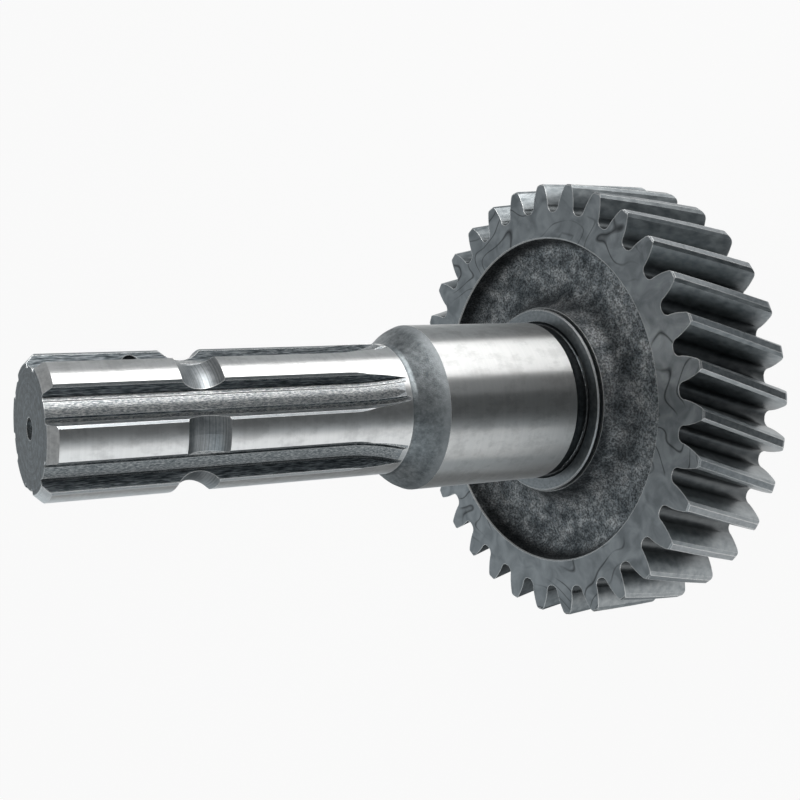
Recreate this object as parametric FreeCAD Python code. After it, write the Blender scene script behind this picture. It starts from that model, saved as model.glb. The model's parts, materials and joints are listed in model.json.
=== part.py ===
import FreeCAD, Part
import math
import os

# Power take-off stub shaft: one forging that carries a six-key spline for the implement's drive
# shaft, a ground bearing seat, a turned collar and a helical gear. A second, shorter journal
# behind the gear runs in the rear bearing. Lengths are in millimetres.
# The shaft stands on the end of the rear journal, +Z runs along its axis to the spline end,
# and +X goes through the middle of one key.

# Spline that the implement's drive shaft slides on
spline_diameter = 34.8
spline_length = 94.6
key_count = 6
key_width = 8.65
key_edge_break = 0.4
spline_root_diameter = 29.2
relief_depth = 0.45
relief_width = 1.35
full_depth_length = 77.2
hob_radius = 41.0
end_chamfer_length = 2.2
end_chamfer_drop = 2.1

# Round groove that the drive shaft's locking balls drop into
lock_groove_radius = 6.8
lock_groove_bottom_diameter = 29.4
lock_groove_from_end = 38.0

# Cross hole for a locking bolt, through the middle of two opposite spaces of the spline
cross_hole_diameter = 8.3
cross_hole_from_end = 25.0

# Turned shoulder between the spline and the seat, with a flatter lead for the bearing
shoulder_length = 7.4
shoulder_slope_deg = 37.0
shoulder_rounding = 7.0
shoulder_foot_rounding = 2.4
seat_lead_deg = 22.0

# Front bearing seat, with the relief that the grinding wheel runs out into
seat_diameter = 44.45
seat_length = 40.9
seat_relief_width = 3.9
seat_relief_depth = 0.8

# Collars that the bearings stop against. The cut that faces the gear's rim also skims a narrow
# ring of the forging beside each collar.
collar_diameter = 52.2
collar_proud = 1.5
collar_edge_break = 0.3
collar_ring_width = 0.4
collar_foot_rounding = 6.0

# Helical gear, right-hand
tooth_count = 32
normal_module = 3.5
pressure_angle_deg = 20.0
helix_angle_deg = 17.0
face_width = 30.0
addendum_factor = 1.0
dedendum_factor = 1.25
profile_shift_factor = -0.17
root_rounding_factor = 0.57
tooth_thinning = 0.35
tip_break_depth = 0.8
tip_break_width = 0.75
front_end_chamfer = 0.35
rear_end_rounding = 1.9
first_gap_deg = 3.15

# Forged recess in each face of the gear
recess_diameter = 92.2
recess_depth = 6.0
recess_draft_deg = 12.0
recess_rounding = 4.0
recess_edge_break = 0.3

# Both reliefs run on a little way into the collar's face and climb out again
relief_undercut = 0.5
relief_climb = 1.2

# Rear journal, with its own relief and lead
journal_diameter = 40.0
journal_length = 22.0
journal_relief_width = 3.0
journal_relief_depth = 0.5
journal_chamfer = 1.5

# Centre holes that the shaft was turned and ground between
centre_drill_diameter = 2.5
centre_drill_depth = 6.5
centre_cone_diameter = 5.4
centre_cone_angle_deg = 60.0
drill_point_angle_deg = 120.0

# How far a cutting tool runs past the face that it starts from, and the hob past the tips
overrun = 1.0
hob_overrun = 0.5

# Heights of the faces above the rear end
rear_collar_face = journal_length
rear_gear_face = rear_collar_face + collar_proud
front_gear_face = rear_gear_face + face_width
front_collar_face = front_gear_face + collar_proud
seat_bottom = front_collar_face + seat_relief_width
seat_top = seat_bottom + seat_length
shoulder_foot = seat_top + shoulder_length
spline_end = shoulder_foot + spline_length

# Radii that follow from the sizes above
spline_radius = spline_diameter / 2
spline_root_radius = spline_root_diameter / 2
seat_radius = seat_diameter / 2
journal_radius = journal_diameter / 2
collar_radius = collar_diameter / 2
recess_radius = recess_diameter / 2
helix_angle = math.radians(helix_angle_deg)
transverse_module = normal_module / math.cos(helix_angle)
pitch_radius = transverse_module * tooth_count / 2
tip_radius = pitch_radius + (addendum_factor + profile_shift_factor) * normal_module
gear_root_radius = pitch_radius - (dedendum_factor - profile_shift_factor) * normal_module


def point(radius, angle, height=0.0):
    """A point at a radius from the shaft's axis, at an angle in radians."""
    return FreeCAD.Vector(radius * math.cos(angle), radius * math.sin(angle), height)


def rounded_edges(corners):
    """Lines and arcs through corners given as (radius, height, rounding) in the X-Z plane.

    A rounding that is too large for its lines is cut down, so that it takes up to a whole line
    beside a sharp corner and up to half of one beside another rounding.
    """
    whole_line = 0.98
    half_line = whole_line / 2
    spots = [FreeCAD.Vector(radius, 0, height) for radius, height, rounding in corners]
    last = len(corners) - 1
    starts = []
    ends = []
    arcs = []
    for index, (radius, height, rounding) in enumerate(corners):
        starts.append(spots[index])
        ends.append(spots[index])
        arcs.append(None)
        if rounding == 0 or index in (0, last):
            continue
        back = spots[index - 1] - spots[index]
        ahead = spots[index + 1] - spots[index]
        half_corner = back.getAngle(ahead) / 2
        room = min(
            back.Length * (whole_line if corners[index - 1][2] == 0 else half_line),
            ahead.Length * (whole_line if corners[index + 1][2] == 0 else half_line),
        )
        reach = min(rounding / math.tan(half_corner), room)
        back.normalize()
        ahead.normalize()
        inward = back + ahead
        inward.normalize()
        arc_radius = reach * math.tan(half_corner)
        to_centre = arc_radius / math.sin(half_corner)
        starts[index] = spots[index] + back * reach
        ends[index] = spots[index] + ahead * reach
        middle = spots[index] + inward * (to_centre - arc_radius)
        arcs[index] = Part.Arc(starts[index], middle, ends[index]).toShape()
    edges = []
    for index in range(last + 1):
        if arcs[index] is not None:
            edges.append(arcs[index])
        if index < last:
            edges.append(Part.makeLine(ends[index], starts[index + 1]))
    return edges


def turned_solid(corners):
    """A solid of revolution about the shaft's axis, from corners that start and end on it."""
    edges = rounded_edges(corners)
    edges.append(Part.makeLine(edges[-1].Vertexes[-1].Point, edges[0].Vertexes[0].Point))
    face = Part.Face(Part.Wire(edges))
    return face.revolve(FreeCAD.Vector(0, 0, 0), FreeCAD.Vector(0, 0, 1), 360)


def recess_corners(face_height, inward):
    """The forged recess from the collar out to the rim; inward is +1 or -1 along the axis."""
    floor = face_height + inward * recess_depth
    drift = recess_depth * math.tan(math.radians(recess_draft_deg))
    ring_edge = collar_radius + collar_ring_width
    return [
        (collar_radius, face_height, 0),
        (ring_edge, face_height, 0),
        (ring_edge + drift, floor, collar_foot_rounding),
        (recess_radius - drift, floor, recess_rounding),
        (recess_radius, face_height + inward * recess_edge_break, 0),
        (recess_radius + recess_edge_break, face_height, 0),
    ]


def relief_corners(collar_face, away, neck_radius, width, depth):
    """The relief between a ground journal and its collar; away is +1 or -1 from the collar."""
    floor_radius = neck_radius - depth
    return [
        (neck_radius, collar_face + away * width, 0),
        (floor_radius, collar_face + away * (width - depth), depth),
        (floor_radius, collar_face - away * relief_undercut, relief_undercut),
        (floor_radius + relief_climb, collar_face, 0),
        (collar_radius - collar_edge_break, collar_face, 0),
        (collar_radius, collar_face - away * collar_edge_break, 0),
    ]


def turned_blank():
    """The whole forging after turning, before any teeth are cut."""
    steep = math.tan(math.radians(shoulder_slope_deg))
    gentle = math.tan(math.radians(seat_lead_deg))
    rise = seat_radius - spline_radius
    lead = (steep * shoulder_length - rise) / (steep - gentle)
    corners = [
        (0, 0, 0),
        (journal_radius - journal_chamfer, 0, 0),
        (journal_radius, journal_chamfer, 0),
    ]
    corners += relief_corners(
        rear_collar_face, -1, journal_radius, journal_relief_width, journal_relief_depth
    )
    corners += recess_corners(rear_gear_face, 1)
    corners += [
        (tip_radius, rear_gear_face, rear_end_rounding),
        (tip_radius, front_gear_face - front_end_chamfer, 0),
        (tip_radius - front_end_chamfer, front_gear_face, 0),
    ]
    corners += reversed(recess_corners(front_gear_face, -1))
    corners += reversed(
        relief_corners(front_collar_face, 1, seat_radius, seat_relief_width, seat_relief_depth)
    )
    corners += [
        (seat_radius, seat_top, 0),
        (seat_radius - gentle * lead, seat_top + lead, shoulder_rounding),
        (spline_radius, shoulder_foot, shoulder_foot_rounding),
        (spline_radius, spline_end - end_chamfer_length, 0),
        (spline_radius - end_chamfer_drop, spline_end, 0),
        (0, spline_end, 0),
    ]
    return turned_solid(corners)


def involute(angle):
    """The involute function of a pressure angle in radians."""
    return math.tan(angle) - angle


def gap_half_angle(radius):
    """Half the angle that the space between two teeth takes up at a radius."""
    normal_slope = math.tan(math.radians(pressure_angle_deg))
    transverse_pressure = math.atan(normal_slope / math.cos(helix_angle))
    base_radius = pitch_radius * math.cos(transverse_pressure)
    pressure = math.acos(min(1.0, base_radius / radius))
    widening = tooth_thinning / (2 * pitch_radius) - 2 * profile_shift_factor * normal_slope / tooth_count
    half_gap = math.pi / (2 * tooth_count) + widening
    return half_gap - involute(transverse_pressure) + involute(pressure)


def tooth_gap_outline():
    """Section across the axis of one space between teeth, about the +X direction.

    It runs down one flank, round the root and up the other. At the top each flank leans out
    into the small break that the hob leaves along the tooth's tip.
    """
    rounding = root_rounding_factor * normal_module
    centre_radius = gear_root_radius + rounding
    centre_angle = gap_half_angle(centre_radius) - rounding / centre_radius
    centre = point(centre_radius, centre_angle)
    outward = point(1, centre_angle)
    sideways = point(1, centre_angle + math.pi / 2)
    slant = sideways - outward
    slant.normalize()
    root = centre - outward * rounding
    bend = centre + slant * rounding
    flank_foot = centre + sideways * rounding
    flank_top = tip_radius - tip_break_depth
    flank_spots = [flank_foot]
    flank_steps = 3
    for step in range(1, flank_steps + 1):
        radius = centre_radius + (flank_top - centre_radius) * step / flank_steps
        flank_spots.append(point(radius, gap_half_angle(radius)))
    tip_edge = point(tip_radius, gap_half_angle(flank_top) + tip_break_width / tip_radius)
    break_slant = (tip_edge - flank_spots[-1]) * (1 / tip_break_depth)
    outer = tip_edge + break_slant * hob_overrun
    mirrored = [FreeCAD.Vector(spot.x, -spot.y, 0) for spot in (root, bend, flank_foot)]
    upper_flank = Part.BSplineCurve()
    upper_flank.interpolate(flank_spots)
    lower_flank = Part.BSplineCurve()
    lower_flank.interpolate([FreeCAD.Vector(spot.x, -spot.y, 0) for spot in reversed(flank_spots)])
    lower_outer = FreeCAD.Vector(outer.x, -outer.y, 0)
    lower_top = FreeCAD.Vector(flank_spots[-1].x, -flank_spots[-1].y, 0)
    return Part.Wire([
        Part.makeLine(lower_outer, lower_top),
        lower_flank.toShape(),
        Part.Arc(mirrored[2], mirrored[1], mirrored[0]).toShape(),
        Part.Arc(mirrored[0], point(gear_root_radius, 0), root).toShape(),
        Part.Arc(root, bend, flank_foot).toShape(),
        upper_flank.toShape(),
        Part.makeLine(flank_spots[-1], outer),
        Part.makeLine(outer, lower_outer),
    ])


def tooth_gaps():
    """The spaces that the hob leaves, twisted along the right-hand helix."""
    outline = tooth_gap_outline()
    turn_per_mm = math.degrees(math.tan(helix_angle) / pitch_radius)
    low = rear_gear_face - overrun
    high = front_gear_face + overrun
    section_count = 4
    sections = []
    for index in range(section_count):
        height = low + (high - low) * index / (section_count - 1)
        section = outline.copy()
        turn = first_gap_deg + turn_per_mm * (height - front_gear_face)
        section.rotate(FreeCAD.Vector(0, 0, 0), FreeCAD.Vector(0, 0, 1), turn)
        section.translate(FreeCAD.Vector(0, 0, height))
        sections.append(section)
    gap = Part.makeLoft(sections, True, False)
    gaps = []
    for index in range(tooth_count):
        copy = gap.copy()
        copy.rotate(FreeCAD.Vector(0, 0, 0), FreeCAD.Vector(0, 0, 1), index * 360 / tooth_count)
        gaps.append(copy)
    return gaps


def spline_space_outline(height):
    """Section of the space between two keys, open along +X, at a height.

    The sides lie flat against the keys' sides. The floor follows the root circle and drops
    into a shallow relief at each corner, so that the mating hub's keys seat on their sides.
    """
    half_pitch = math.pi / key_count
    half_key = key_width / 2

    def side_spot(radius):
        return point(radius, half_pitch - math.asin(half_key / radius))

    floor_foot = side_spot(spline_root_radius - relief_depth)
    relief_angle = relief_width / spline_root_radius
    floor_angle = math.atan2(floor_foot.y, floor_foot.x) - relief_angle
    relief_top = point(spline_root_radius, floor_angle)
    relief_bottom = point(spline_root_radius - relief_depth, floor_angle + relief_depth / spline_root_radius)
    side_top = side_spot(spline_radius - key_edge_break)
    key_direction = FreeCAD.Vector(math.cos(half_pitch), math.sin(half_pitch), 0)
    key_normal = FreeCAD.Vector(-math.sin(half_pitch), math.cos(half_pitch), 0)
    clear = key_edge_break + overrun
    break_top = side_top + (key_direction + key_normal) * clear
    outer = FreeCAD.Vector(spline_radius + clear, break_top.y, 0)
    upper = [relief_top, relief_bottom, floor_foot, side_top, break_top, outer]
    lower = [FreeCAD.Vector(spot.x, -spot.y, 0) for spot in upper]
    edges = [Part.Arc(lower[0], point(spline_root_radius, 0), upper[0]).toShape()]
    for first, second in zip(upper, upper[1:]):
        edges.append(Part.makeLine(first, second))
    edges.append(Part.makeLine(upper[-1], lower[-1]))
    for first, second in zip(reversed(lower), list(reversed(lower))[1:]):
        edges.append(Part.makeLine(first, second))
    outline = Part.Wire(edges)
    outline.translate(FreeCAD.Vector(0, 0, height))
    return outline


def spline_spaces():
    """The spaces between the keys, each with the curved run-out that the hob leaves."""
    run_out_start = spline_end - full_depth_length
    face = Part.Face(spline_space_outline(run_out_start))
    straight = face.extrude(FreeCAD.Vector(0, 0, full_depth_length + overrun))
    hob_axis = FreeCAD.Vector(spline_root_radius + hob_radius, 0, run_out_start)
    run_out_length = spline_length - full_depth_length
    turn = math.degrees(math.asin(run_out_length / hob_radius))
    curved = face.revolve(hob_axis, FreeCAD.Vector(0, 1, 0), -turn)
    space = straight.fuse(curved).removeSplitter()
    spaces = []
    for index in range(key_count):
        copy = space.copy()
        turn = (index + 0.5) * 360 / key_count
        copy.rotate(FreeCAD.Vector(0, 0, 0), FreeCAD.Vector(0, 0, 1), turn)
        spaces.append(copy)
    return spaces


def lock_groove():
    """The round-bottomed groove turned across the keys."""
    centre = lock_groove_bottom_diameter / 2 + lock_groove_radius
    height = spline_end - lock_groove_from_end
    return Part.makeTorus(centre, lock_groove_radius, FreeCAD.Vector(0, 0, height))


def cross_hole():
    """The hole for the locking bolt, along Y, midway between keys."""
    height = spline_end - cross_hole_from_end
    start = FreeCAD.Vector(0, -spline_diameter, height)
    return Part.makeCylinder(
        cross_hole_diameter / 2, 2 * spline_diameter, start, FreeCAD.Vector(0, 1, 0)
    )


def centre_hole(face_height, inward):
    """A centre hole with its cone; inward is +1 or -1 along the axis."""
    cone_radius = centre_cone_diameter / 2
    drill_radius = centre_drill_diameter / 2
    cone_depth = (cone_radius - drill_radius) / math.tan(math.radians(centre_cone_angle_deg / 2))
    point_depth = drill_radius / math.tan(math.radians(drill_point_angle_deg / 2))
    return turned_solid([
        (0, face_height - inward * overrun, 0),
        (cone_radius, face_height - inward * overrun, 0),
        (cone_radius, face_height, 0),
        (drill_radius, face_height + inward * cone_depth, 0),
        (drill_radius, face_height + inward * centre_drill_depth, 0),
        (0, face_height + inward * (centre_drill_depth + point_depth), 0),
    ])


stub_shaft = turned_blank()
stub_shaft = stub_shaft.cut(tooth_gaps())
stub_shaft = stub_shaft.cut(spline_spaces())
stub_shaft = stub_shaft.cut(
    [lock_groove(), cross_hole(), centre_hole(spline_end, -1), centre_hole(0, 1)]
)
print("solids", len(stub_shaft.Solids), "valid", stub_shaft.isValid(), "volume", stub_shaft.Volume)

os.makedirs("parts", exist_ok=True)
stub_shaft.Solids[0].exportStep("parts/stub_shaft.step")
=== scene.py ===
import bpy
import json
import math
from collections import namedtuple
from mathutils import Euler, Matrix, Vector


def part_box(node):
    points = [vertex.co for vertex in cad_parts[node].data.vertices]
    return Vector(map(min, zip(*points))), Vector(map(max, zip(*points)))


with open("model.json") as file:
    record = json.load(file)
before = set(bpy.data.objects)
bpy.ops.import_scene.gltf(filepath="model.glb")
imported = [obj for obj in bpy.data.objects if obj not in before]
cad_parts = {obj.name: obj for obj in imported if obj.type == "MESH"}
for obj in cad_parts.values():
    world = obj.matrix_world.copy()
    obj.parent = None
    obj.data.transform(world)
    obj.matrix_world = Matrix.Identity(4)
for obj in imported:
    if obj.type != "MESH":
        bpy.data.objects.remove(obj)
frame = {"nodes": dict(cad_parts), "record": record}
bpy.context.view_layer.update()

# The shaft is one forging, turned, splined, hobbed and ground from one blank, so it is one node
# and each facet of its mesh gets the finish of the last tool that cut there. Heights run up from
# the rear end, in metres, and sizes come from the frame where it gives them.
mm = 0.001
shaft = frame["nodes"]["stub_shaft"]


# The keys' outsides fit the hub that slides over them, so they are hardened steel ground between
# centres, as the bearing seat is. The wheel's marks run round the shaft: a reflection stays sharp
# across it and smears along it into long bright and dark bands. Handling leaves faint clouds.
def linear(hex_colour):
    """An sRGB hex colour as the linear values that a shader takes."""
    channels = [int(hex_colour[start:start + 2], 16) / 255 for start in (1, 3, 5)]
    bent = [c / 12.92 if c <= 0.04045 else ((c + 0.055) / 1.055) ** 2.4 for c in channels]
    return (*bent, 1.0)


def add_node(material, kind, settings=None, sockets=None, steps=()):
    """One node with its settings, its sockets' values or links, and a colour ramp's steps."""
    node = material.node_tree.nodes.new(kind)
    for name, value in (settings or {}).items():
        setattr(node, name, value)
    for name, value in (sockets or {}).items():
        if isinstance(value, bpy.types.NodeSocket):
            material.node_tree.links.new(value, node.inputs[name])
        else:
            node.inputs[name].default_value = value
    for number, (position, hex_colour) in enumerate(steps):
        elements = node.color_ramp.elements
        if number == len(elements):
            elements.new(position)
        elements[number].position = position
        elements[number].color = linear(hex_colour)
    return node


def bare_material(name):
    """A material with no nodes yet."""
    material = bpy.data.materials.new(name)
    material.use_nodes = True
    material.node_tree.nodes.clear()
    return material


def shaft_material(name):
    """A bare material, and the place on the shaft that its patterns are drawn by."""
    material = bare_material(name)
    return material, add_node(material, "ShaderNodeTexCoord").outputs["Object"]


def across_shaft(material, place):
    """A place's part across the shaft, which points from the axis to it."""
    return add_node(
        material, "ShaderNodeVectorMath", {"operation": "MULTIPLY"}, {0: place, 1: (1, 1, 0)}
    ).outputs["Vector"]


def lathe_radius(material, place):
    """How far a place is from the shaft's axis."""
    across = across_shaft(material, place)
    return add_node(
        material, "ShaderNodeVectorMath", {"operation": "LENGTH"}, {0: across}
    ).outputs["Value"]


def lathe_place(material, place):
    """A place as (radius, 0, height), by which a pattern runs in rings round the shaft."""
    radius = lathe_radius(material, place)
    height = add_node(material, "ShaderNodeSeparateXYZ", {}, {0: place}).outputs["Z"]
    return add_node(material, "ShaderNodeCombineXYZ", {}, {"X": radius, "Z": height}).outputs[0]


def grain(material, place, size, detail, roughness=0.5, distortion=0.0):
    """Random grain whose largest clouds have the size given along each axis, in millimetres."""
    per_metre = [1 / (length * mm) for length in size]
    scaled = add_node(
        material, "ShaderNodeVectorMath", {"operation": "MULTIPLY"}, {0: place, 1: per_metre}
    )
    cloud = add_node(
        material,
        "ShaderNodeTexNoise",
        {},
        {
            "Vector": scaled.outputs["Vector"],
            "Scale": 1.0,
            "Detail": detail,
            "Roughness": roughness,
            "Distortion": distortion,
        },
    )
    return cloud.outputs["Fac"]


def stained(material, colour, pattern, span, share):
    """A colour darkened over a pattern's span, by nothing at its start and by share at its end."""
    kept = add_node(
        material,
        "ShaderNodeMapRange",
        {},
        {"Value": pattern, "From Min": span[0], "From Max": span[1], "To Min": 1, "To Max": 1 - share},
    )
    darkened = add_node(
        material,
        "ShaderNodeVectorMath",
        {"operation": "SCALE"},
        {0: colour, "Scale": kept.outputs["Result"]},
    )
    return darkened.outputs["Vector"]


# How far the painted edge highlight and the painted corner shade reach, and the highlight's colour.
edge_highlight_reach = 0.35 * mm
corner_shade_reach = 1.0 * mm
edge_highlight_steel = "#eeefee"


def edge_highlight_and_corner_shade(material, colour):
    """Paints a highlight on sharp edges and paints shade into inner corners, over a colour.

    A sharp edge is where rounding it off would turn the surface by 10 degrees or more.
    """
    # Painted highlight: the colour turns near white on every sharp edge.
    rounded = add_node(material, "ShaderNodeBevel", {"samples": 4}, {"Radius": edge_highlight_reach})
    surface = add_node(material, "ShaderNodeNewGeometry")
    likeness = add_node(
        material,
        "ShaderNodeVectorMath",
        {"operation": "DOT_PRODUCT"},
        {0: rounded.outputs["Normal"], 1: surface.outputs["Normal"]},
    )
    on_edge = add_node(
        material,
        "ShaderNodeMapRange",
        {},
        {"Value": likeness.outputs["Value"], "From Min": 0.985, "From Max": 0.92},
    )
    lightened = add_node(
        material,
        "ShaderNodeMix",
        {"data_type": "RGBA"},
        {0: on_edge.outputs["Result"], 6: colour, 7: linear(edge_highlight_steel)},
    )
    # Painted shade: ambient occlusion darkens the colour in inner corners and hollows.
    openness = add_node(
        material,
        "ShaderNodeAmbientOcclusion",
        {"samples": 4, "only_local": True},
        {"Distance": corner_shade_reach},
    )
    return stained(
        material, lightened.outputs[2], openness.outputs["AO"], span=(0.85, 0.5), share=0.85
    )


def finish_metal(material, colour, roughness, relief=None, sockets=None):
    """Joins a metal's colour, roughness and relief to its shader, with any other sockets.

    Roughness is a pattern, its span, and the roughness at the span's start and end. Relief is a
    pattern, its strength and the real depth of the marks in millimetres.
    """
    pattern, span, first, last = roughness
    rough = add_node(
        material,
        "ShaderNodeMapRange",
        {},
        {"Value": pattern, "From Min": span[0], "From Max": span[1], "To Min": first, "To Max": last},
    )
    values = {
        "Metallic": 1.0,
        "Base Color": edge_highlight_and_corner_shade(material, colour),
        "Roughness": rough.outputs["Result"],
    }
    if relief is not None:
        marks, strength, depth = relief
        bump = add_node(
            material,
            "ShaderNodeBump",
            {},
            {"Height": marks, "Strength": strength, "Distance": depth * mm},
        )
        values["Normal"] = bump.outputs["Normal"]
    values.update(sockets or {})
    shader = add_node(material, "ShaderNodeBsdfPrincipled", {}, values)
    add_node(material, "ShaderNodeOutputMaterial", {}, {"Surface": shader.outputs["BSDF"]})
    return material


def round_marks(material, strength):
    """The shader's sockets for fine marks that run round the shaft."""
    tangent = add_node(material, "ShaderNodeTangent", {"direction_type": "RADIAL", "axis": "Z"})
    return {
        "Anisotropic": strength,
        "Anisotropic Rotation": 0.25,
        "Tangent": tangent.outputs["Tangent"],
    }


def ground_steel(name, low_colour, high_colour):
    """Steel off the grinding wheel, whose fine passes are drawn 0.7 mm apart so that they show.

    A ground surface is truly round, so its normal is worked out and not taken from the facets.
    """
    material, place = shaft_material(name)
    passes = grain(material, lathe_place(material, place), size=(50, 50, 0.7), detail=4)
    clouds = grain(material, place, size=(4, 4, 6), detail=5, roughness=0.65)
    colour = add_node(
        material,
        "ShaderNodeValToRGB",
        {},
        {"Fac": passes},
        [(0.3, low_colour), (0.7, high_colour)],
    )
    true_round = add_node(
        material,
        "ShaderNodeVectorTransform",
        {"vector_type": "NORMAL", "convert_from": "OBJECT", "convert_to": "WORLD"},
        {0: across_shaft(material, place)},
    )
    sockets = round_marks(material, 1.0)
    sockets["Normal"] = true_round.outputs["Vector"]
    return finish_metal(
        material,
        stained(material, colour.outputs["Color"], clouds, span=(0.48, 0.62), share=0.15),
        roughness=(clouds, (0.3, 0.7), 0.36, 0.42),
        sockets=sockets,
    )


spline_radius = 17.4 * mm
ground_key = ground_steel("ground_key_steel", "#efefee", "#f7f7f6")


# The spaces between the keys were cut by a hob and never ground. Their sides are smooth and dark
# with oil, and the hob's corners tore their floors into bright and dull grains. The grains are
# finer than the render shows, so they are drawn 0.2 mm across and stretched along the shaft.
def hobbed_side():
    material, place = shaft_material("hobbed_side_steel")
    streaks = grain(material, place, size=(0.22, 0.22, 3), detail=4, roughness=0.65)
    colour = add_node(
        material,
        "ShaderNodeValToRGB",
        {},
        {"Fac": streaks},
        [(0.38, "#2f3336"), (0.5, "#565c5f"), (0.62, "#8d9295")],
    )
    return finish_metal(
        material,
        colour.outputs["Color"],
        roughness=(streaks, (0.3, 0.7), 0.3, 0.4),
        relief=(streaks, 0.3, 0.03),
    )


def hobbed_floor():
    material, place = shaft_material("hobbed_floor_steel")
    torn = grain(material, place, size=(0.2, 0.2, 0.9), detail=3, roughness=0.65)
    colour = add_node(
        material,
        "ShaderNodeValToRGB",
        {},
        {"Fac": torn},
        [(0.36, "#6f7578"), (0.5, "#a1a5a7"), (0.62, "#dededc")],
    )
    return finish_metal(
        material,
        colour.outputs["Color"],
        roughness=(torn, (0.3, 0.7), 0.42, 0.36),
        relief=(torn, 0.15, 0.02),
        sockets=round_marks(material, 0.97),
    )


mounts = {mount["name"]: mount for mount in frame["record"]["mounts"]}


def mount_height(name):
    """Height of a mount above the rear end."""
    return mounts[name]["pos_m"][2]


def mount_size(name, measure):
    """A measure of a mount, turned from the record's millimetres to metres."""
    return mounts[name]["dims"][measure] * mm


key_edge_break = 0.45 * mm
hole_height = mount_height("cross_hole")
hole_radius = mount_size("cross_hole", "r_mm")
spline_side = hobbed_side()
spline_floor = hobbed_floor()


# The spline's end, its chamfer, the centre hole in it and the ball groove across the keys were
# turned on a lathe and left as cut. Fine rings catch the light and the steel is greyer than where
# it is ground. The tool's rings are finer than the render shows, so they are drawn 0.3 mm apart.
def turned_steel(name, low_colour, high_colour, roughness, ring_share=0.2):
    material, place = shaft_material(name)
    rings = grain(material, lathe_place(material, place), size=(0.3, 1, 0.3), detail=3)
    stain = grain(material, place, size=(1.1, 1.1, 1.1), detail=5, roughness=0.65)
    colour = add_node(
        material,
        "ShaderNodeValToRGB",
        {},
        {"Fac": stain},
        [(0.32, low_colour), (0.62, high_colour)],
    )
    return finish_metal(
        material,
        stained(material, colour.outputs["Color"], rings, span=(0.6, 0.35), share=ring_share),
        roughness=(stain, (0.3, 0.7), roughness - 0.05, roughness + 0.05),
        relief=(rings, ring_share, 0.04),
    )


shaft_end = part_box("stub_shaft")[1].z
end_chamfer = 2.2 * mm
groove_height = shaft_end - 38 * mm
groove_ring_radius = 21.5 * mm
groove_tool_radius = 6.8 * mm
centre_radius = 3 * mm
drill_radius = 1.25 * mm
end_face = turned_steel("turned_end_steel", "#15181a", "#7a8083", 0.42, ring_share=0.5)
chamfer = turned_steel("turned_chamfer_steel", "#c9cccd", "#e4e6e6", 0.4, ring_share=0.1)
centre_cone = turned_steel("countersunk_centre_steel", "#1a1c1d", "#6f7578", 0.26, ring_share=0.5)
# Painted shade: the centre drill hole is coloured nearly black, as the shade deep inside it.
centre_drill = turned_steel("painted_shade_drill_hole_steel", "#0c0d0e", "#161819", 0.5)
ball_groove = turned_steel("turned_groove_steel", "#8d9295", "#a1a5a7", 0.42, ring_share=0.35)
broken_edge = turned_steel("broken_edge_steel", "#8d9295", "#a1a5a7", 0.42, ring_share=0.05)

# A facet is told by its place and by how far its normal points up and outward, where 1 is all the
# way. Its centre lies inside the round surface that it stands for, by less than the gap.
Facet = namedtuple("Facet", "x height radius upward outward")
facet_gap = 0.08 * mm
flat_from = 0.97
sloping_from = 0.4
round_from = 0.9
facing_out_from = 0.7


def spline_finish(facet):
    if facet.upward > flat_from and facet.height > shaft_end - facet_gap:
        return end_face
    if abs(math.hypot(facet.x, facet.height - hole_height) - hole_radius) < facet_gap:
        return spline_side
    if facet.radius < centre_radius:
        return centre_drill if facet.radius < drill_radius + facet_gap else centre_cone
    if facet.upward > sloping_from and facet.height > shaft_end - end_chamfer - facet_gap:
        return chamfer
    to_ring = math.hypot(facet.radius - groove_ring_radius, facet.height - groove_height)
    if abs(to_ring - groove_tool_radius) < facet_gap:
        return ball_groove
    if facet.radius > spline_radius - facet_gap and facet.outward > round_from:
        return ground_key
    if facet.outward > facing_out_from:
        return spline_floor if facet.radius < spline_radius - key_edge_break else broken_edge
    return spline_side


# The shoulder leads from the spline up to the seat. It was turned and then cleaned with shot, so
# it is matte and mottled, and it is paler and rougher towards the seat. The shot's pits are finer
# than the render shows, so they are drawn 0.3 mm across.
seat_top = mount_height("bearing_seat") + mount_size("bearing_seat", "length_mm") / 2
shoulder_top = seat_top + 8.2 * mm
pale_span = (seat_top + 2.6 * mm, seat_top + 0.8 * mm)
dull_span = (seat_top + 5 * mm, seat_top + 1.5 * mm)


def blasted_steel():
    material, place = shaft_material("blasted_steel")
    mottle = grain(material, place, size=(1.6, 1.6, 1.6), detail=6, roughness=0.7)
    pits = grain(material, place, size=(0.3, 0.3, 0.3), detail=2)
    colour = add_node(
        material,
        "ShaderNodeValToRGB",
        {},
        {"Fac": mottle},
        [(0.34, "#666c6f"), (0.66, "#969b9d")],
    )
    height = add_node(material, "ShaderNodeSeparateXYZ", {}, {0: place}).outputs["Z"]
    # The colour turns paler towards the seat.
    paler_towards_seat = add_node(
        material,
        "ShaderNodeMapRange",
        {},
        {"Value": height, "From Min": pale_span[0], "From Max": pale_span[1], "To Max": 0.6},
    )
    lightened = add_node(
        material,
        "ShaderNodeMix",
        {"data_type": "RGBA"},
        {0: paler_towards_seat.outputs["Result"], 6: colour.outputs["Color"], 7: linear("#a1a5a7")},
    )
    return finish_metal(
        material,
        lightened.outputs[2],
        roughness=(height, dull_span, 0.42, 0.64),
        relief=(pits, 0.7, 0.1),
    )


shoulder = blasted_steel()

# The seat, which a bearing and an oil seal run on, and the journal behind the gear are hardened
# steel, ground as the keys are and a little greyer.
seat_bottom = mount_height("bearing_seat") - mount_size("bearing_seat", "length_mm") / 2
seat_radius = mount_size("bearing_seat", "r_mm")
journal_radius = mount_size("rear_journal", "r_mm")
ground_seat = ground_steel("ground_seat_steel", "#d3d4d3", "#dadad9")

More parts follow.
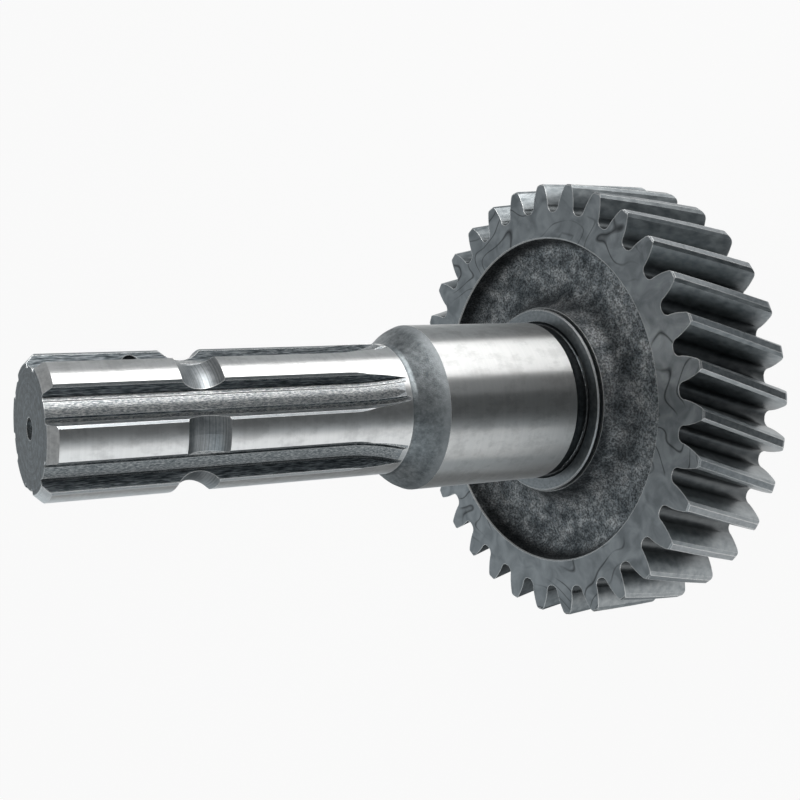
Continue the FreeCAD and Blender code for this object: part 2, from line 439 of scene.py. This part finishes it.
# The collars are turned steel and stop the bearings against the gear. Beside the seat and the
# journal each has a relief, dark with oil, where the grinding wheel runs out.
front_collar_face = mount_height("front_collar_face")
rear_collar_face = mount_height("rear_collar_face")
gear_middle = (front_collar_face + rear_collar_face) / 2
collar_radius = 26.1 * mm
collar_edge = 25.8 * mm
relief_edge = seat_radius + 0.2 * mm
collar_face = turned_steel("turned_collar_steel", "#7d8285", "#989da0", 0.34)
oiled_relief = turned_steel("oiled_relief_steel", "#3d4143", "#55595b", 0.36)


def collar_finish(facet):
    if facet.height > gear_middle:
        if facet.upward > flat_from and facet.radius > relief_edge:
            return collar_face
        if facet.radius > collar_edge - facet_gap and sloping_from < facet.upward < flat_from:
            return broken_edge
        return oiled_relief
    if facet.height < facet_gap:
        return end_face
    if facet.upward < -flat_from:
        return collar_face
    if journal_radius - facet_gap < facet.radius < collar_edge - facet_gap:
        return ground_seat
    return oiled_relief


# The web between collar and rim is as the die and the furnace left it, and oiled: forging scale,
# nearly black, with worn grey patches and a coarse grain that glints here and there. Shade is
# painted in, darker round the foot of the collar and in the recess's outer corner.
recess_radius = 46.1 * mm
recess_edge_break = 0.4 * mm
recess_corner_shade_span = (42.5 * mm, 45.5 * mm)
collar_foot_shade_span = (36 * mm, 28 * mm)


def forged_scale():
    material, place = shaft_material("forged_scale")
    radius = lathe_radius(material, place)
    patches = grain(material, place, size=(5, 5, 5), detail=6, roughness=0.7)
    glints = grain(material, place, size=(0.55, 0.55, 0.55), detail=4, roughness=0.7)
    colour = add_node(
        material,
        "ShaderNodeValToRGB",
        {},
        {"Fac": patches},
        [(0.36, "#687075"), (0.5, "#a4abaf"), (0.62, "#dde1e3")],
    )
    grain_and_shade = stained(material, colour.outputs["Color"], glints, span=(0.58, 0.44), share=0.65)
    # Painted shade: darker in the recess's outer corner and round the collar's foot.
    grain_and_shade = stained(material, grain_and_shade, radius, recess_corner_shade_span, share=0.8)
    grain_and_shade = stained(material, grain_and_shade, radius, collar_foot_shade_span, share=0.5)
    return finish_metal(
        material,
        grain_and_shade,
        roughness=(glints, (0.4, 0.6), 0.62, 0.45),
        relief=(glints, 0.8, 0.12),
        sockets={"Metallic": 0.7},
    )


web = forged_scale()
recess_edge = turned_steel("worn_recess_edge_steel", "#b4b7b8", "#c9cbcb", 0.58, ring_share=0.05)

# The rim's faces were turned, the teeth hobbed, and both hardened, so they are dark steel under a
# film of oil. It has dried in wavy lines on the faces. The teeth's flanks are painted darker towards
# their roots, as shade between the teeth. The lands at the teeth's tips and their broken edges are
# clean of oil and look paler.
tip_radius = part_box("stub_shaft")[1].x
tooth_root_radius = 53.6 * mm
tip_break = 0.8 * mm
collar_ring = 0.4 * mm
root_shade_span = (tip_radius - 2 * mm, tooth_root_radius + 1 * mm)

# A line's half width and the height of its waves are in line spacings.
line_spacing = 6 * mm
line_half_width = 0.09
wave_height = 3


def drying_lines(material, place):
    """Wavy lines round the shaft, one above the other: 1 on a line, and faded in patches."""
    level = grain(material, place, size=(18, 18, 18), detail=1, distortion=0.3)
    fading = grain(material, place, size=(21.6, 21.6, 21.6), detail=2)
    shift = add_node(
        material,
        "ShaderNodeMapRange",
        {},
        {"Value": level, "From Min": 0.3, "From Max": 0.7, "To Max": wave_height},
    )
    waves = add_node(
        material,
        "ShaderNodeMath",
        {"operation": "MULTIPLY_ADD"},
        {0: lathe_radius(material, place), 1: 1 / line_spacing, 2: shift.outputs["Result"]},
    )
    off_line = add_node(
        material, "ShaderNodeMath", {"operation": "PINGPONG"}, {0: waves.outputs[0], 1: 0.5}
    )
    on_line = add_node(
        material,
        "ShaderNodeMapRange",
        {},
        {"Value": off_line.outputs[0], "From Max": line_half_width, "To Min": 1, "To Max": 0},
    )
    shown = add_node(
        material, "ShaderNodeMapRange", {}, {"Value": fading, "From Min": 0.47, "From Max": 0.57}
    )
    lines = add_node(
        material,
        "ShaderNodeMath",
        {"operation": "MULTIPLY"},
        {0: on_line.outputs["Result"], 1: shown.outputs["Result"]},
    )
    return lines.outputs[0]


def oiled_rim():
    material, place = shaft_material("oiled_rim_steel")
    film = grain(material, place, size=(6, 6, 6), detail=5, distortion=0.8)
    lines = drying_lines(material, place)
    colour = add_node(
        material,
        "ShaderNodeValToRGB",
        {},
        {"Fac": film},
        [(0.34, "#7b8083"), (0.66, "#a1a6a9")],
    )
    return finish_metal(
        material,
        stained(material, colour.outputs["Color"], lines, span=(0, 1), share=0.75),
        roughness=(film, (0.3, 0.7), 0.36, 0.44),
        relief=(film, 0.1, 0.05),
    )


def oiled_flank():
    material, place = shaft_material("oiled_flank_steel")
    radius = lathe_radius(material, place)
    film = grain(material, place, size=(1.5, 1.5, 3), detail=4)
    colour = add_node(
        material,
        "ShaderNodeValToRGB",
        {},
        {"Fac": film},
        [(0.3, "#7f8588"), (0.7, "#a4a9ab")],
    )
    # Painted shade: the flanks darken towards the teeth's roots, between the teeth.
    return finish_metal(
        material,
        stained(material, colour.outputs["Color"], radius, root_shade_span, share=0.65),
        roughness=(film, (0.3, 0.7), 0.3, 0.4),
        relief=(film, 0.12, 0.04),
    )


rim = oiled_rim()
flank = oiled_flank()
tooth_tip = turned_steel("turned_tip_steel", "#7d8285", "#989da0", 0.4, ring_share=0.05)


def gear_finish(facet):
    tilt = abs(facet.upward)
    if facet.radius < collar_radius + collar_ring and tilt > flat_from:
        return broken_edge
    if facet.radius < recess_radius + recess_edge_break:
        on_edge = facet.radius > recess_radius - facet_gap and sloping_from < tilt < flat_from
        return recess_edge if on_edge else web
    if facet.radius > tip_radius - tip_break - facet_gap and facet.outward > round_from:
        return tooth_tip
    if tilt > flat_from:
        return rim
    return tooth_tip if tilt > sloping_from else flank


# The finishes go on to the shaft's mesh, a slot for each. Height tells spline, shoulder and seat
# apart, and radius tells the collars from the gear.
def finish_of(polygon):
    centre = polygon.center
    normal = polygon.normal
    radius = math.hypot(centre.x, centre.y)
    outward = (normal.x * centre.x + normal.y * centre.y) / max(radius, mm)
    facet = Facet(centre.x, centre.z, radius, normal.z, outward)
    if facet.height > shoulder_top - facet_gap:
        return spline_finish(facet)
    if facet.height > seat_top - facet_gap:
        return shoulder
    if facet.height > seat_bottom - facet_gap:
        return ground_seat
    if facet.radius < collar_radius + facet_gap:
        return collar_finish(facet)
    return gear_finish(facet)


mesh = shaft.data
mesh.materials.clear()
slots = {}
for polygon in mesh.polygons:
    finish = finish_of(polygon)
    if finish.name not in slots:
        slots[finish.name] = len(mesh.materials)
        mesh.materials.append(finish)
    polygon.material_index = slots[finish.name]

# The shaft stands on its rear journal on a floor of white studio paper. The paper shows nearly
# white to the camera and to polished steel, and still takes the shaft's soft shadow.
floor_reach = 6.0
paper_glow = 0.93
floor_mesh = bpy.data.meshes.new("floor")
floor_mesh.from_pydata(
    [(x * floor_reach, y * floor_reach, 0) for x, y in ((-1, -1), (1, -1), (1, 1), (-1, 1))],
    [],
    [(0, 1, 2, 3)],
)
floor = bpy.data.objects.new("floor", floor_mesh)
bpy.context.scene.collection.objects.link(floor)


def floor_paper():
    material = bare_material("white_floor_paper")
    path = add_node(material, "ShaderNodeLightPath")
    seen = path.outputs["Is Camera Ray"]
    for other in ("Is Glossy Ray", "Is Transmission Ray"):
        seen = add_node(
            material, "ShaderNodeMath", {"operation": "MAXIMUM"}, {0: seen, 1: path.outputs[other]}
        ).outputs[0]
    share = add_node(
        material, "ShaderNodeMath", {"operation": "MULTIPLY"}, {0: seen, 1: paper_glow}
    )
    paper = add_node(material, "ShaderNodeBsdfDiffuse", {}, {"Color": linear("#f2f2f0")})
    white = add_node(material, "ShaderNodeEmission", {}, {"Color": (1, 1, 1, 1), "Strength": 1.0})
    both = add_node(
        material,
        "ShaderNodeMixShader",
        {},
        {"Fac": share.outputs[0], 1: paper.outputs["BSDF"], 2: white.outputs["Emission"]},
    )
    add_node(material, "ShaderNodeOutputMaterial", {}, {"Surface": both.outputs["Shader"]})
    return material


floor_mesh.materials.append(floor_paper())

# Cards of grey board lie round the shaft and screens stand behind them, out of the camera's sight,
# as a photographer sets them to give polished steel its dark and grey bands. Each is given as the
# bearings of its two edges, in degrees, and its grey. The front pair fades out towards one side.
card_inner = 75 * mm
card_outer = 1400 * mm
card_lift = 0.6 * mm
screen_height = 1300 * mm
card_greys = {
    "front_card": (4, 26, 0.09),
    "front_grey_card": (26, 50, 0.26),
    "left_card": (104, 150, 0.4),
    "rear_left_card": (196, 228, 0.3),
    "rear_card": (228, 272, 0.12),
    "side_card": (272, 300, 0.4),
}
screen_greys = {
    "front_screen": (4, 26, 0.09),
    "side_screen": (310, 338, 1.1),
    "low_side_screen": (280, 310, 0.6),
    "upper_rear_screen": (150, 187, 0.5),
    "lower_rear_screen": (187, 240, 0.75),
}
fade_start = 4
fade_width = 4
fade_greys = (0.1, 0.13, 0.18, 0.26, 0.4, 0.58)
screen_share = 0.8
for step, grey in enumerate(fade_greys):
    last = fade_start - step * fade_width
    first = last - fade_width
    card_greys[f"front_fade_card_{step}"] = (first, last, grey)
    screen_greys[f"front_fade_screen_{step}"] = (first, last, screen_share * grey)


def grey_board(name, grey):
    material = bare_material(name + "_board")
    cool_grey = (0.93 * grey, grey, 1.04 * grey, 1)
    board = add_node(material, "ShaderNodeEmission", {}, {"Color": cool_grey, "Strength": 1.0})
    add_node(material, "ShaderNodeOutputMaterial", {}, {"Surface": board.outputs["Emission"]})
    return material


def add_sector(name, first, last, grey, inner, outer):
    """A strip between two edges, each given as (reach, height), swept between two bearings."""
    steps = 16
    corners = []
    for step in range(steps + 1):
        bearing = math.radians(first + (last - first) * step / steps)
        for reach, height in (inner, outer):
            corners.append((reach * math.cos(bearing), reach * math.sin(bearing), height))
    faces = [(2 * step, 2 * step + 1, 2 * step + 3, 2 * step + 2) for step in range(steps)]
    sector_mesh = bpy.data.meshes.new(name)
    sector_mesh.from_pydata(corners, [], faces)
    sector_mesh.materials.append(grey_board(name, grey))
    sector = bpy.data.objects.new(name, sector_mesh)
    bpy.context.scene.collection.objects.link(sector)
    sector.visible_camera = False
    sector.visible_diffuse = False
    sector.visible_shadow = False


for name, (first, last, grey) in card_greys.items():
    add_sector(name, first, last, grey, (card_inner, card_lift), (card_outer, card_lift))
for name, (first, last, grey) in screen_greys.items():
    add_sector(name, first, last, grey, (card_outer, 0), (card_outer, screen_height))

# A wide softbox on one side gives the broad white band and the light that the shadows fall from.
# It is aimed at the seat, near the middle.
softbox_bearing = math.radians(75)
softbox_distance = 0.75
softbox_height = 0.14
seat_middle = Vector((0, 0, 0.08))
light = bpy.data.lights.new("softbox", "AREA")
light.shape = "RECTANGLE"
light.size = 0.71
light.size_y = 0.28
light.energy = 4.3
softbox = bpy.data.objects.new("softbox", light)
softbox.location = (
    softbox_distance * math.cos(softbox_bearing),
    softbox_distance * math.sin(softbox_bearing),
    softbox_height,
)
softbox.rotation_euler = (seat_middle - softbox.location).to_track_quat("-Z", "Y").to_euler()
softbox.visible_camera = False
bpy.context.scene.collection.objects.link(softbox)

# The room behind is white to the camera, as the floor is. To the shaft it is dimmer, and gives
# the steel a soft grey fill between the bands of the cards and the softbox.
room_fill = 0.3
room_glow = 0.97
world = bpy.data.worlds.new("studio")
world.use_nodes = True
path = add_node(world, "ShaderNodeLightPath")
strength = add_node(
    world,
    "ShaderNodeMapRange",
    {},
    {"Value": path.outputs["Is Camera Ray"], "To Min": room_fill, "To Max": room_glow},
)
room = world.node_tree.nodes["Background"]
room.inputs["Color"].default_value = linear("#ffffff")
world.node_tree.links.new(strength.outputs["Result"], room.inputs["Strength"])
bpy.context.scene.world = world

# The camera stands where the photograph was taken from, which was worked out from the shaft's
# edges in it. It is turned so that the shaft lies across the picture, spline on the left.
camera_data = bpy.data.cameras.new("camera")
camera_data.sensor_width = 36.0
camera_data.lens = 52.12
camera_data.shift_x = 0.1287
camera_data.shift_y = 0.0015
camera = bpy.data.objects.new("camera", camera_data)
camera.location = (0.25796, 0.06494, 0.26787)
camera.rotation_euler = Euler([math.radians(turn) for turn in (-5.781, 62.836, 6.949)], "XYZ")
bpy.context.scene.collection.objects.link(camera)
bpy.context.scene.camera = camera
bpy.context.scene.view_settings.view_transform = "Standard"

bpy.context.view_layer.update()
